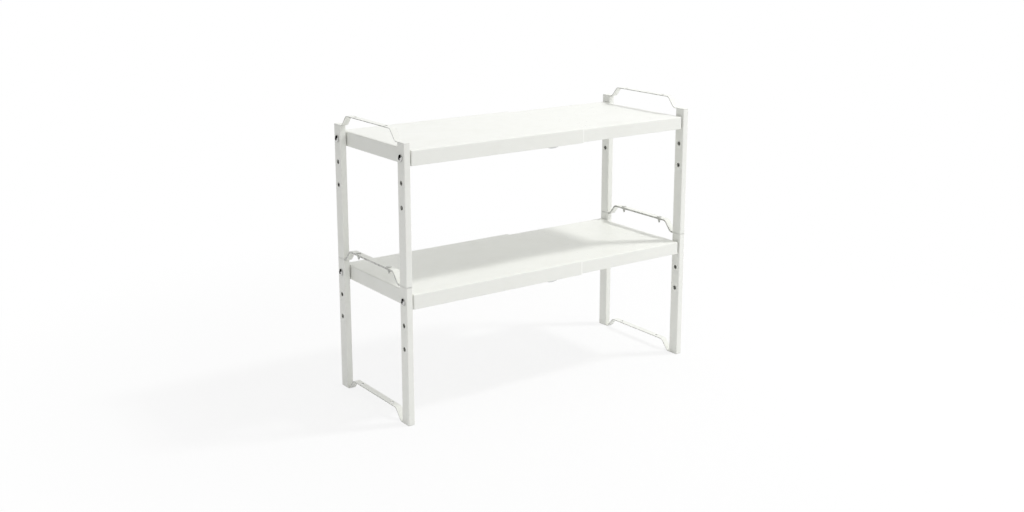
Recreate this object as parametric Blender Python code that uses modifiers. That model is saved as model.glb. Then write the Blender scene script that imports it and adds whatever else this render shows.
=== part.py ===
"""Expandable two-tier shelf organizer of white powder-coated steel.

Each tier has two end frames and a shelf of two nested trays, one sliding inside the other.
The upper tier's braces nest on the lower tier's handles and are held there by push-in plugs.
Metres, +Z up, +X along the shelves, -Y to the front, origin under the middle of the four feet.
"""

import math

import bmesh
import bpy
from mathutils import Matrix, Quaternion

# Overall sizes
ORGANIZER_WIDTH = 0.588
ORGANIZER_DEPTH = 0.226
TIER_HEIGHT = 0.230

# Clearance between pieces that are welded together or rest on each other
SEAT_GAP = 0.0003

# How far a cutting tool runs past the piece it cuts
TOOL_OVERRUN = 0.002

# Leg tubes
LEG_WIDTH = 0.0112
LEG_DEPTH = 0.0202
LEG_WALL = 0.0010
LEG_CORNER_RADIUS = 0.0012
LEG_HOLE_RADIUS = 0.0038
LEG_HOLE_COUNT = 3
LEG_HOLE_PITCH = 0.0392
TOP_HOLE_DROP = 0.0245

# Straps that cap the legs and form the handle above and the brace below
STRAP_THICKNESS = 0.0014
STRAP_RISE = 0.0180
STRAP_SHOULDER = 0.0022
STRAP_BEND_RADIUS = 0.0090
STRAP_RAMP_ANGLE = math.radians(50.0)
STRAP_END_RADIUS = 0.0010
PLUG_INSET = 0.0630
PLUG_HOLE_RADIUS = 0.0030

# Trays
TRAY_SHEET = 0.0010
TRAY_BEND_RADIUS = 0.0020
TRAY_TOP_DROP = 0.0125
TRAY_END_GAP = 0.0018
OUTER_LIP_HEIGHT = 0.0246
LIP_STEP = 0.0024
OUTER_TRAY_SHARE = 0.6014
TRAY_OVERLAP = 0.0790
TRAY_SIDE_CLEARANCE = 0.0012
TRAY_TOP_CLEARANCE = 0.0004

# Rivet nuts in the tray end lips
NUT_FLANGE_RADIUS = 0.0055
NUT_BARREL_RADIUS = 0.0042
NUT_BULGE_RADIUS = 0.0054
NUT_BULGE_LENGTH = 0.0026
NUT_BARREL_LENGTH = 0.0095
THREAD_CLEARANCE = 0.0003

# Shelf screws
SCREW_RADIUS = 0.0030
SCREW_LENGTH = 0.0235
SCREW_POINT = 0.0015
SCREW_HEAD_RADIUS = 0.0058
SCREW_HEAD_HEIGHT = 0.0030
SCREW_RIM_HEIGHT = 0.0007
RECESS_SPAN = 0.0052
RECESS_WIDTH = 0.0011
RECESS_DEPTH = 0.0018

# Push-in plugs that lock one tier on the other
PLUG_HEAD_RADIUS = 0.0042
PLUG_HEAD_HEIGHT = 0.0016
PLUG_RIM_HEIGHT = 0.0005
PLUG_SHANK_RADIUS = 0.0024
PLUG_BARB_RADIUS = 0.0027
PLUG_BARB_LENGTH = 0.0012
PLUG_TIP_RADIUS = 0.0013
PLUG_TIP_LENGTH = 0.0062
PLUG_SLOT_WIDTH = 0.0010

# Plastic glides clipped under the inner tray's free end
GLIDE_LENGTH = 0.0210
GLIDE_OUTER_WALL = 0.0006
GLIDE_INNER_WALL = 0.0016
GLIDE_GRIP = 0.0080
GLIDE_DROP = 0.0025
GLIDE_END_INSET = 0.0040
GLIDE_EDGE_CHAMFER = 0.0007

# Facet counts
HOLE_FACETS = 20
TURNED_FACETS = 18
BEND_FACETS = 4
DOME_FACETS = 4

# Sizes that follow from the ones above
FRAME_CENTRE = (ORGANIZER_WIDTH - LEG_WIDTH) / 2
LEG_CENTRE = (ORGANIZER_DEPTH - LEG_DEPTH) / 2
LEG_FOOT = STRAP_THICKNESS + SEAT_GAP
LEG_LENGTH = TIER_HEIGHT - 2 * LEG_FOOT
TIER_PITCH = TIER_HEIGHT + SEAT_GAP
TRAY_END = LEG_WIDTH / 2 + TRAY_END_GAP
SHELF_SPAN = 2 * (FRAME_CENTRE - TRAY_END)
OUTER_TRAY_LENGTH = SHELF_SPAN * OUTER_TRAY_SHARE
INNER_TRAY_LENGTH = SHELF_SPAN - OUTER_TRAY_LENGTH + TRAY_OVERLAP
OUTER_TRAY_TOP = TIER_HEIGHT - TRAY_TOP_DROP
INNER_TRAY_TOP = OUTER_TRAY_TOP - TRAY_SHEET - TRAY_TOP_CLEARANCE
INNER_LIP_HEIGHT = OUTER_LIP_HEIGHT - LIP_STEP
INNER_TRAY_DEPTH = ORGANIZER_DEPTH - 2 * (TRAY_SHEET + TRAY_SIDE_CLEARANCE)
SHELF_HOLE_HEIGHT = TIER_HEIGHT - TOP_HOLE_DROP
LIP_HOLE_RADIUS = NUT_BARREL_RADIUS + SEAT_GAP
PLUG_PLACE = ORGANIZER_DEPTH / 2 - PLUG_INSET

SIDES = {"left": 1, "right": -1}
ENDS = {"front": -1, "back": 1}
TIERS = {"lower": 0.0, "upper": TIER_PITCH}


def clear_scene():
    """Removes the objects the file opened with."""
    for item in list(bpy.data.objects):
        bpy.data.objects.remove(item, do_unlink=True)


def new_collection(name):
    """Makes a collection in the scene."""
    made = bpy.data.collections.new(name)
    bpy.context.scene.collection.children.link(made)
    return made


def new_material(name, colour, roughness, metallic):
    """Makes a Principled material."""
    made = bpy.data.materials.new(name)
    made.use_nodes = True
    shader = made.node_tree.nodes["Principled BSDF"]
    shader.inputs["Base Color"].default_value = (*colour, 1.0)
    shader.inputs["Roughness"].default_value = roughness
    shader.inputs["Metallic"].default_value = metallic
    made.diffuse_color = (*colour, 1.0)
    return made


def evaluated_mesh(item):
    """Returns a mesh of the object as its modifiers leave it, in its own coordinates."""
    graph = bpy.context.evaluated_depsgraph_get()
    graph.update()
    return bpy.data.meshes.new_from_object(item.evaluated_get(graph))


def mesh_from(bm, name):
    """Turns a bmesh into a named mesh."""
    mesh = bpy.data.meshes.new(name)
    bm.to_mesh(mesh)
    bm.free()
    return mesh


def workpiece(mesh, cutters):
    """Links a mesh to the cutters' collection as an object that modifiers can work on."""
    item = bpy.data.objects.new(mesh.name, mesh)
    cutters.objects.link(item)
    return item


def round_bar(name, radius, length, place, cutters, turn=None):
    """Makes a round cutting tool about the Z axis, or turned with the given matrix."""
    bm = bmesh.new()
    bmesh.ops.create_cone(
        bm,
        cap_ends=True,
        segments=HOLE_FACETS,
        radius1=radius,
        radius2=radius,
        depth=length,
    )
    if turn is not None:
        bm.transform(turn)
    bm.transform(Matrix.Translation(place))
    return cutting_tool(mesh_from(bm, name), cutters)


def block(name, size, place, cutters):
    """Makes a square cutting tool."""
    bm = bmesh.new()
    bmesh.ops.create_cube(bm, size=1.0)
    bm.transform(Matrix.Translation(place) @ Matrix.Diagonal((*size, 1.0)))
    return cutting_tool(mesh_from(bm, name), cutters)


def cutting_tool(mesh, cutters):
    """Links a mesh as a cutting tool, drawn as wires and never rendered."""
    tool = workpiece(mesh, cutters)
    tool.hide_render = True
    tool.display_type = "WIRE"
    return tool


def cut(item, tools, name):
    """Cuts the tools out of the workpiece and returns the finished mesh under a new name."""
    for tool in tools:
        step = item.modifiers.new(tool.name, "BOOLEAN")
        step.operation = "DIFFERENCE"
        step.solver = "EXACT"
        step.object = tool
    mesh = evaluated_mesh(item)
    mesh.name = name
    for used in [item, *tools]:
        bpy.data.objects.remove(used, do_unlink=True)
    return mesh


def shade(mesh, angle=math.radians(30.0)):
    """Shades the round faces smooth and keeps the real edges sharp."""
    mesh.shade_smooth()
    mesh.set_sharp_from_angle(angle=angle)
    return mesh


def arc(centre, radius, start, sweep, facets):
    """Points on an arc, with both ends."""
    turns = [start + sweep * step / facets for step in range(facets + 1)]
    return [(centre[0] + radius * math.cos(a), centre[1] + radius * math.sin(a)) for a in turns]


def flat_outline(name, points, half_thickness, cutters):
    """Fills an outline in the YZ plane and extrudes it both ways along X."""
    curve = bpy.data.curves.new(name, "CURVE")
    curve.dimensions = "2D"
    curve.fill_mode = "BOTH"
    curve.extrude = half_thickness
    spline = curve.splines.new("POLY")
    spline.points.add(len(points) - 1)
    for point, (across, up) in zip(spline.points, points):
        point.co = (across, up, 0.0, 1.0)
    spline.use_cyclic_u = True
    drawn = bpy.data.objects.new(name, curve)
    cutters.objects.link(drawn)
    mesh = evaluated_mesh(drawn)
    bm = bmesh.new()
    bm.from_mesh(mesh)
    bmesh.ops.remove_doubles(bm, verts=bm.verts, dist=SEAT_GAP / 10)
    bm.transform(drawn.matrix_world)
    bm.transform(Matrix(((0, 0, 1, 0), (1, 0, 0, 0), (0, 1, 0, 0), (0, 0, 0, 1))))
    bmesh.ops.recalc_face_normals(bm, faces=bm.faces)
    bpy.data.objects.remove(drawn, do_unlink=True)
    bpy.data.curves.remove(curve)
    bpy.data.meshes.remove(mesh)
    return mesh_from(bm, name)


def turned(name, profile, cutters, closed=False):
    """Turns a profile of (radius, height) points about the Z axis with a Screw modifier."""
    bm = bmesh.new()
    corners = [bm.verts.new((radius, 0.0, height)) for radius, height in profile]
    pairs = list(zip(corners, corners[1:]))
    if closed:
        pairs.append((corners[-1], corners[0]))
    for one, other in pairs:
        bm.edges.new((one, other))
    item = workpiece(mesh_from(bm, name), cutters)
    lathe = item.modifiers.new("Turning", "SCREW")
    lathe.axis = "Z"
    lathe.angle = math.tau
    lathe.steps = TURNED_FACETS
    lathe.render_steps = TURNED_FACETS
    lathe.use_merge_vertices = True
    lathe.merge_threshold = SEAT_GAP / 10
    lathe.use_normal_calculate = True
    lathe.use_normal_flip = closed
    return item


def strap_side():
    """The face that handle and brace share, from front to back, as (y, z, normal y, normal z)."""
    radius = STRAP_BEND_RADIUS
    angle = STRAP_RAMP_ANGLE
    front = -ORGANIZER_DEPTH / 2
    foot = front + LEG_DEPTH + STRAP_SHOULDER
    ramp_rise = STRAP_RISE - 2 * radius * (1 - math.cos(angle))
    ramp_run = ramp_rise / math.tan(angle)
    head = foot + 2 * radius * math.sin(angle) + ramp_run
    side = [(front, 0.0, 0.0, 1.0)]
    for step in range(BEND_FACETS + 1):
        a = angle * step / BEND_FACETS
        side.append(
            (foot + radius * math.sin(a), radius * (1 - math.cos(a)), -math.sin(a), math.cos(a))
        )
    for step in range(BEND_FACETS + 1):
        a = angle * (1 - step / BEND_FACETS)
        side.append(
            (
                head - radius * math.sin(a),
                STRAP_RISE - radius * (1 - math.cos(a)),
                -math.sin(a),
                math.cos(a),
            )
        )
    return side + [(-y, z, -ny, nz) for y, z, ny, nz in reversed(side)]


def strap_mesh(name, above, cutters):
    """A bent strap: its sheet lies above the shared face in a brace, and below it in a handle."""
    reach = STRAP_THICKNESS if above else -STRAP_THICKNESS
    side = strap_side()
    shared = [(y, z) for y, z, _, _ in side]
    other = [(y + ny * reach, z + nz * reach) for y, z, ny, nz in side]
    r = STRAP_END_RADIUS
    middle = -r if not above else r
    front = -ORGANIZER_DEPTH / 2
    quarter = math.pi / 2
    if above:
        nose = arc((front + r, middle), r, math.pi, quarter, DOME_FACETS // 2)
    else:
        nose = arc((front + r, middle), r, math.pi, -quarter, DOME_FACETS // 2)
    tail = [(-y, z) for y, z in reversed(nose)]
    outline = nose + shared[1:-1] + tail + list(reversed(other))
    mesh = flat_outline(name, outline, LEG_WIDTH / 2, cutters)
    lift = STRAP_THICKNESS + 2 * TOOL_OVERRUN
    middle_height = STRAP_RISE + reach / 2
    tools = [
        round_bar(f"{name} hole {end}", PLUG_HOLE_RADIUS, lift, (0.0, sign * PLUG_PLACE, middle_height), cutters)
        for end, sign in ENDS.items()
    ]
    return shade(cut(workpiece(mesh, cutters), tools, name))


def leg_mesh(cutters):
    """A closed rectangular tube with its row of shelf holes, standing on its own foot."""
    bm = bmesh.new()
    bmesh.ops.create_cube(bm, size=1.0)
    bm.transform(
        Matrix.Translation((0.0, 0.0, LEG_FOOT + LEG_LENGTH / 2))
        @ Matrix.Diagonal((LEG_WIDTH, LEG_DEPTH, LEG_LENGTH, 1.0))
    )
    bm.normal_update()
    ends = [face for face in bm.faces if abs(face.normal.z) > math.sqrt(0.5)]
    bmesh.ops.delete(bm, geom=ends, context="FACES_ONLY")
    corners = [edge for edge in bm.edges if not edge.is_boundary]
    bmesh.ops.bevel(
        bm,
        geom=corners,
        offset=LEG_CORNER_RADIUS,
        offset_type="OFFSET",
        segments=BEND_FACETS // 2,
        profile=0.5,
        affect="EDGES",
    )
    tube = workpiece(mesh_from(bm, "Leg tube"), cutters)
    wall = tube.modifiers.new("Wall", "SOLIDIFY")
    wall.thickness = LEG_WALL
    wall.offset = -1.0
    wall.use_even_offset = True
    across = Matrix.Rotation(math.pi / 2, 4, "Y")
    length = LEG_WIDTH + 2 * TOOL_OVERRUN
    tools = []
    for row in range(LEG_HOLE_COUNT):
        height = SHELF_HOLE_HEIGHT - row * LEG_HOLE_PITCH
        tools.append(round_bar(f"Shelf hole {row}", LEG_HOLE_RADIUS, length, (0.0, 0.0, height), cutters, across))
    return shade(cut(tube, tools, "Leg"))


def tray_mesh(name, length, depth, lip_height, top, cutters):
    """A shallow pan upside down: flat top, three lips, open where it meets the other tray."""
    bm = bmesh.new()
    bmesh.ops.create_cube(bm, size=1.0)
    bm.transform(
        Matrix.Translation((TRAY_END + length / 2, 0.0, top - lip_height / 2))
        @ Matrix.Diagonal((length, depth, lip_height, 1.0))
    )
    bm.normal_update()
    near_one = math.sqrt(0.5)
    open_faces = [face for face in bm.faces if face.normal.z < -near_one or face.normal.x > near_one]
    bmesh.ops.delete(bm, geom=open_faces, context="FACES_ONLY")
    loose = [edge for edge in bm.edges if not edge.link_faces]
    bmesh.ops.delete(bm, geom=loose, context="EDGES")
    bends = [edge for edge in bm.edges if not edge.is_boundary]
    bmesh.ops.bevel(
        bm,
        geom=bends,
        offset=TRAY_BEND_RADIUS,
        offset_type="OFFSET",
        segments=BEND_FACETS,
        profile=0.5,
        affect="EDGES",
    )
    pan = workpiece(mesh_from(bm, name), cutters)
    sheet = pan.modifiers.new("Sheet", "SOLIDIFY")
    sheet.thickness = TRAY_SHEET
    sheet.offset = -1.0
    sheet.use_even_offset = True
    across = Matrix.Rotation(math.pi / 2, 4, "Y")
    reach = 2 * (TRAY_SHEET + TOOL_OVERRUN)
    tools = []
    for end, sign in ENDS.items():
        place = (TRAY_END, sign * LEG_CENTRE, SHELF_HOLE_HEIGHT)
        tools.append(round_bar(f"{name} hole {end}", LIP_HOLE_RADIUS, reach, place, cutters, across))
    return shade(cut(pan, tools, name))


def screw_mesh(cutters):
    """A truss-head screw with a cross recess, its head up and the head's seat at zero."""
    seat = SEAT_GAP
    rim = seat + SCREW_RIM_HEIGHT
    rise = SCREW_HEAD_HEIGHT - SCREW_RIM_HEIGHT
    dome = []
    for step in range(DOME_FACETS + 1):
        a = math.pi / 2 * (1 - step / DOME_FACETS)
        dome.append((SCREW_HEAD_RADIUS * math.cos(a), rim + rise * math.sin(a)))
    dome[0] = (0.0, rim + rise)
    profile = dome + [
        (SCREW_HEAD_RADIUS, seat),
        (SCREW_RADIUS, seat),
        (SCREW_RADIUS, SCREW_POINT - SCREW_LENGTH),
        (SCREW_RADIUS - SCREW_POINT, -SCREW_LENGTH),
        (0.0, -SCREW_LENGTH),
    ]
    item = turned("Screw", profile, cutters)
    top = seat + SCREW_HEAD_HEIGHT
    height = 2 * RECESS_DEPTH
    tools = [
        block("Recess slot", (RECESS_SPAN, RECESS_WIDTH, height), (0.0, 0.0, top), cutters),
        block("Recess cross slot", (RECESS_WIDTH, RECESS_SPAN, height), (0.0, 0.0, top), cutters),
    ]
    return shade(cut(item, tools, "Screw"))


def nut_mesh(cutters):
    """A flanged rivet nut, crimped in the lip's hole, its flange up against the leg."""
    bore = SCREW_RADIUS + THREAD_CLEARANCE
    flange_top = -LEG_WIDTH - SEAT_GAP
    flange_seat = -LEG_WIDTH - TRAY_END_GAP + SEAT_GAP
    bulge_top = -LEG_WIDTH - TRAY_END_GAP - TRAY_SHEET - SEAT_GAP
    bulge_low = bulge_top - NUT_BULGE_LENGTH
    bulge_mid = (bulge_top + bulge_low) / 2
    end = flange_seat - NUT_BARREL_LENGTH
    profile = [
        (bore, end),
        (NUT_BARREL_RADIUS, end),
        (NUT_BARREL_RADIUS, bulge_low),
        (NUT_BULGE_RADIUS, bulge_mid),
        (NUT_BARREL_RADIUS, bulge_top),
        (NUT_BARREL_RADIUS, flange_seat),
        (NUT_FLANGE_RADIUS, flange_seat),
        (NUT_FLANGE_RADIUS, flange_top),
        (bore, flange_top),
    ]
    item = turned("Rivet nut", profile, cutters, closed=True)
    return shade(cut(item, [], "Rivet nut"))


def plug_mesh(cutters):
    """A push-in plug with a domed head, a barb and a split pointed tip, its head's seat at zero."""
    seat = SEAT_GAP
    rim = seat + PLUG_RIM_HEIGHT
    rise = PLUG_HEAD_HEIGHT - PLUG_RIM_HEIGHT
    dome = []
    for step in range(DOME_FACETS + 1):
        a = math.pi / 2 * (1 - step / DOME_FACETS)
        dome.append((PLUG_HEAD_RADIUS * math.cos(a), rim + rise * math.sin(a)))
    dome[0] = (0.0, rim + rise)
    barb_top = -2 * (STRAP_THICKNESS + SEAT_GAP)
    barb_low = barb_top - PLUG_BARB_LENGTH
    tip = barb_low - PLUG_TIP_LENGTH
    profile = dome + [
        (PLUG_HEAD_RADIUS, seat),
        (PLUG_SHANK_RADIUS, seat),
        (PLUG_SHANK_RADIUS, barb_top),
        (PLUG_BARB_RADIUS, barb_top),
        (PLUG_BARB_RADIUS, barb_low),
        (PLUG_TIP_RADIUS, tip),
        (0.0, tip),
    ]
    item = turned("Plug", profile, cutters)
    slot_top = barb_top + PLUG_BARB_LENGTH
    slot_height = slot_top - tip + TOOL_OVERRUN
    size = (PLUG_SLOT_WIDTH, 2 * (PLUG_BARB_RADIUS + TOOL_OVERRUN), slot_height)
    tools = [block("Plug slot", size, (0.0, 0.0, slot_top - slot_height / 2), cutters)]
    return shade(cut(item, tools, "Plug"))


def glide_mesh(cutters):
    """A U-shaped clip round a lip's lower edge: lip at y zero, slot floor at z zero, thin wall to -Y."""
    slot = TRAY_SHEET / 2 + SEAT_GAP
    thin = -slot - GLIDE_OUTER_WALL
    thick = slot + GLIDE_INNER_WALL
    outer_bottom = OUTER_TRAY_TOP - OUTER_LIP_HEIGHT
    inner_bottom = INNER_TRAY_TOP - INNER_LIP_HEIGHT
    low = outer_bottom - GLIDE_DROP - (inner_bottom - SEAT_GAP)
    c = GLIDE_EDGE_CHAMFER
    outline = [
        (thin, GLIDE_GRIP),
        (thin, low + c),
        (thin + c, low),
        (thick - c, low),
        (thick, low + c),
        (thick, GLIDE_GRIP),
        (slot, GLIDE_GRIP),
        (slot, 0.0),
        (-slot, 0.0),
        (-slot, GLIDE_GRIP),
    ]
    return flat_outline("Glide", outline, GLIDE_LENGTH / 2, cutters)


def place(name, mesh, material, parent, collection, location, rotation=None):
    """Puts a node in the scene under its carrier."""
    item = bpy.data.objects.new(name, mesh)
    collection.objects.link(item)
    item.parent = parent
    item.location = location
    if rotation is not None:
        item.rotation_mode = "QUATERNION"
        item.rotation_quaternion = rotation
    item.data.materials.clear()
    item.data.materials.append(material)
    return item


def build():
    """Builds the whole organizer."""
    clear_scene()
    parts = new_collection("Expandable shelf organizer")
    cutters = new_collection("Cutters")

    coat = new_material("White powder coat", (0.86, 0.86, 0.84), 0.38, 0.0)
    chrome = new_material("Chrome", (0.80, 0.80, 0.81), 0.12, 1.0)
    zinc = new_material("Zinc plate", (0.62, 0.63, 0.64), 0.35, 1.0)
    plug_plastic = new_material("White plug plastic", (0.80, 0.80, 0.79), 0.45, 0.0)
    glide_plastic = new_material("Pale glide plastic", (0.70, 0.71, 0.70), 0.50, 0.0)

    leg = leg_mesh(cutters)
    handle = strap_mesh("Handle", False, cutters)
    brace = strap_mesh("Brace", True, cutters)
    trays = {
        "left": tray_mesh("Outer tray", OUTER_TRAY_LENGTH, ORGANIZER_DEPTH, OUTER_LIP_HEIGHT, OUTER_TRAY_TOP, cutters),
        "right": tray_mesh("Inner tray", INNER_TRAY_LENGTH, INNER_TRAY_DEPTH, INNER_LIP_HEIGHT, INNER_TRAY_TOP, cutters),
    }
    tray_names = {"left": "outer_tray", "right": "inner_tray"}
    screw = screw_mesh(cutters)
    nut = nut_mesh(cutters)
    plug = plug_mesh(cutters)
    glide = glide_mesh(cutters)

    head_out = Quaternion((0.0, 1.0, 0.0), -math.pi / 2)
    half_turn = Quaternion((0.0, 0.0, 1.0), math.pi)
    drives = 0

    for tier, foot in TIERS.items():
        for side, inward in SIDES.items():
            carrier = bpy.data.objects.new(f"{tier} {side} carrier", None)
            parts.objects.link(carrier)
            carrier.location = (-inward * FRAME_CENTRE, 0.0, foot)
            carrier.rotation_euler = (0.0, 0.0, 0.0 if inward > 0 else math.pi)

            place(f"{tier}_{side}_handle", handle, coat, carrier, parts, (0.0, 0.0, TIER_HEIGHT))
            place(f"{tier}_{side}_brace", brace, coat, carrier, parts, (0.0, 0.0, 0.0))
            place(f"{tier}_{tray_names[side]}", trays[side], coat, carrier, parts, (0.0, 0.0, 0.0))

            for end, sign in ENDS.items():
                across = sign * inward * LEG_CENTRE
                place(f"{tier}_{side}_{end}_leg", leg, coat, carrier, parts, (0.0, across, 0.0))
                head = (-LEG_WIDTH / 2, across, SHELF_HOLE_HEIGHT)
                drives += 1
                spin = Quaternion((0.0, 0.0, 1.0), drives * math.pi / 7)
                place(f"{tier}_{side}_{end}_screw", screw, chrome, carrier, parts, head, head_out @ spin)
                place(f"{tier}_{side}_{end}_rivet_nut", nut, zinc, carrier, parts, head, head_out)

                if side == "right":
                    lip = sign * (INNER_TRAY_DEPTH - TRAY_SHEET) / 2
                    along = TRAY_END + INNER_TRAY_LENGTH - GLIDE_END_INSET - GLIDE_LENGTH / 2
                    up = INNER_TRAY_TOP - INNER_LIP_HEIGHT - SEAT_GAP
                    turn = None if sign * inward < 0 else half_turn
                    spot = (along, inward * lip, up)
                    place(f"{tier}_{end}_glide", glide, glide_plastic, carrier, parts, spot, turn)

                if tier == "upper":
                    top = STRAP_RISE + STRAP_THICKNESS
                    spot = (0.0, sign * inward * PLUG_PLACE, top)
                    place(f"{side}_{end}_plug", plug, plug_plastic, carrier, parts, spot)

    for spare in [mesh for mesh in bpy.data.meshes if not mesh.users]:
        bpy.data.meshes.remove(spare)


build()
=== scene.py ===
"""Looks of the expandable two-tier shelf organizer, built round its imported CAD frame.

Every CAD node is stood for by a finer piece of the same size in the same place: coated tubes
and straps with their welds, folded trays, threaded screws, crimped rivet nuts, push-in plugs and
plastic glides. Metres, +Z up, +X along the shelves, -Y to the front.
"""

import logging
import math
from dataclasses import dataclass
from enum import Enum
from itertools import product
from typing import Callable, Iterable, NamedTuple, Sequence

import bmesh
import bpy
from mathutils import Matrix, Vector


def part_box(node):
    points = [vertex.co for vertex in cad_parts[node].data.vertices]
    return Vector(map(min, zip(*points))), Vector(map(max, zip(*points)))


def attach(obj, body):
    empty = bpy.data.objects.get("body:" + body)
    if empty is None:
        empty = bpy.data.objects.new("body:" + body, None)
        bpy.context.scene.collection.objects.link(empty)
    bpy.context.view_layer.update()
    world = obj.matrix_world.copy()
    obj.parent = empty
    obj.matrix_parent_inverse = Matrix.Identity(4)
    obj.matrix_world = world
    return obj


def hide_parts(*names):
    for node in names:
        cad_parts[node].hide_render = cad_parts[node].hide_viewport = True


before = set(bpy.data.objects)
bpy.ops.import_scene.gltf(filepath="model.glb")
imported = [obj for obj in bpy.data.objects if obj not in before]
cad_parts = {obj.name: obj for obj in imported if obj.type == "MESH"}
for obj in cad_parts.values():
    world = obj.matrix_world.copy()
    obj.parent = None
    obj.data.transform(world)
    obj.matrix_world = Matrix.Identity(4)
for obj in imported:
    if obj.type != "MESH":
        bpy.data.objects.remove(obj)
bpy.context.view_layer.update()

LOG = logging.getLogger("shelf_organizer")

WELD_LIMIT = 1e-6
SOFT_EDGE_ANGLE = math.radians(35.0)
EDGE_MARK_ANGLE = math.radians(12.0)
EDGE_MARK_WIDTH = 0.0009
EDGE_BARENESS = 0.25
LONG_EDGE_SHARE = 0.6
FACING_SHARE = 0.5
# Thin coat on the edges, and painted shade on the straps' narrow sides.
EDGE_ATTRIBUTE = "thin_coat_and_shade"
# Faces that get painted shade: screw recesses, the ring under screw and plug heads, the plug tips.
SHADE_ATTRIBUTE = "painted_shade"
# Faces that get a painted highlight: the strip along the outer tray's open end.
HIGHLIGHT_ATTRIBUTE = "painted_highlight"

ORIGIN = (0.0, 0.0, 0.0)
ALONG_X = (1.0, 0.0, 0.0)
UP = (0.0, 0.0, 1.0)
WHITE = (1.0, 1.0, 1.0)
QUARTER = math.pi / 2
X_ACROSS = Matrix.Rotation(QUARTER, 4, "Y")
HALF_TURN = Matrix.Rotation(math.pi, 4, "Z")

Triple = tuple[float, float, float]
Span = tuple[float, float]
Profile = Sequence[tuple[float, float]]
Shape = bpy.types.Mesh | bmesh.types.BMesh


class Tier(Enum):
    """The two tiers, from the ground up."""

    LOWER = "lower"
    UPPER = "upper"


class Side(Enum):
    """The two end frames, as seen from the front."""

    LEFT = "left"
    RIGHT = "right"

    @property
    def inward(self) -> int:
        """The sign of the X direction that points to the middle."""
        return 1 if self is Side.LEFT else -1


class End(Enum):
    """The two ends of an end frame."""

    FRONT = "front"
    BACK = "back"


class Strap(Enum):
    """The two straps of an end frame, with the side of the shared face their sheet lies on."""

    HANDLE = -1
    BRACE = 1


class Slot(Enum):
    """The record's material slots."""

    COAT = "white_powder_coat"
    CHROME = "chrome"
    ZINC = "zinc_plate"
    PLUG = "plug_plastic"
    GLIDE = "glide_plastic"


class NodeBoard:
    """Adds and links nodes in one node tree."""

    MIX_SOCKETS = (0, 6, 7)
    MIX_RESULT = 2

    def __init__(self, tree: bpy.types.NodeTree) -> None:
        """Keeps the tree of a material, a world or a group that the nodes go into."""
        self.tree = tree

    def add(self, kind: str, **settings: object) -> bpy.types.Node:
        """Adds a node and gives it settings.

        Args:
            kind: The node's type name without its common ShaderNode start.
            **settings: Attributes of the node by name.

        Returns:
            The new node.
        """
        full = kind if kind.startswith("NodeGroup") else f"ShaderNode{kind}"
        node = self.tree.nodes.new(full)
        for name, value in settings.items():
            setattr(node, name, value)
        return node

    def put(self, socket: bpy.types.NodeSocket, value: object) -> None:
        """Fills an input.

        Args:
            socket: The input.
            value: The socket that it is linked to, or its number, vector or colour.
        """
        if isinstance(value, bpy.types.NodeSocket):
            self.tree.links.new(value, socket)
        else:
            socket.default_value = (*value, 1.0) if socket.type == "RGBA" else value

    def feed(self, node: bpy.types.Node, *values: object, **inputs: object) -> bpy.types.Node:
        """Fills a node's inputs.

        Args:
            node: The node whose inputs are filled.
            *values: What its first inputs get, in order.
            **inputs: What other inputs get by name, spaces written as underscores.

        Returns:
            The same node.
        """
        for socket, value in zip(node.inputs, values):
            self.put(socket, value)
        for name, value in inputs.items():
            self.put(node.inputs[name.replace("_", " ")], value)
        return node

    def math(self, operation: str, *values: object) -> bpy.types.NodeSocket:
        """Adds a Math node with a socket or number for each input, and gives its result."""
        return self.feed(self.add("Math", operation=operation), *values).outputs[0]

    def ramp(self, value: bpy.types.NodeSocket, span: Span, start: float = 0.0, end: float = 1.0
             ) -> bpy.types.NodeSocket:
        """Maps a value smoothly from one span to another and holds it there.

        Args:
            value: The socket that is mapped.
            span: The values that give start and end.
            start: The result at the span's first value.
            end: The result at its second value.

        Returns:
            The result's socket.
        """
        node = self.add("MapRange", interpolation_type="SMOOTHSTEP")
        self.feed(node, Value=value, From_Min=span[0], From_Max=span[1], To_Min=start, To_Max=end)
        return node.outputs["Result"]

    def blend(self, share: bpy.types.NodeSocket, *colours: object) -> bpy.types.NodeSocket:
        """Mixes two colours.

        Args:
            share: How much of the second colour shows.
            *colours: The two colours, each as a socket or three numbers.

        Returns:
            The mixed colour's socket.
        """
        node = self.add("Mix", data_type="RGBA")
        for index, value in zip(self.MIX_SOCKETS, (share, *colours)):
            self.put(node.inputs[index], value)
        return node.outputs[self.MIX_RESULT]

    def either(self, share: bpy.types.NodeSocket, one: bpy.types.Node, other: bpy.types.Node
               ) -> bpy.types.Node:
        """Mixes two shaders by the share of the second, and gives the mixing node."""
        return self.feed(self.add("MixShader"), share, one.outputs[0], other.outputs[0])

    def noise(self, vector: bpy.types.NodeSocket, scale: object, detail: float = 2.0,
              roughness: float = 0.5) -> bpy.types.NodeSocket:
        """Adds a Noise texture.

        Args:
            vector: The coordinates it reads.
            scale: Grains per metre, as a socket or a number.
            detail: How many finer layers are added.
            roughness: How strong the finer layers are.

        Returns:
            The value's socket, around 0.5.
        """
        node = self.add("TexNoise")
        self.feed(node, Vector=vector, Scale=scale, Detail=detail, Roughness=roughness)
        return node.outputs[0]

    def towards(self, heading: bpy.types.NodeSocket, place: Triple) -> bpy.types.NodeSocket:
        """Measures how nearly a ray heads for a place, as the cosine of the angle between them."""
        node = self.add("VectorMath", operation="DOT_PRODUCT")
        return self.feed(node, heading, Vector(place).normalized()).outputs["Value"]

    def seen(self, path: bpy.types.Node) -> bpy.types.NodeSocket:
        """Is 1 for a Light Path node's camera, glossy and transmission rays."""
        plain = self.math("MAXIMUM", path.outputs["Is Camera Ray"], path.outputs["Is Glossy Ray"])
        return self.math("MAXIMUM", plain, path.outputs["Is Transmission Ray"])


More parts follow.
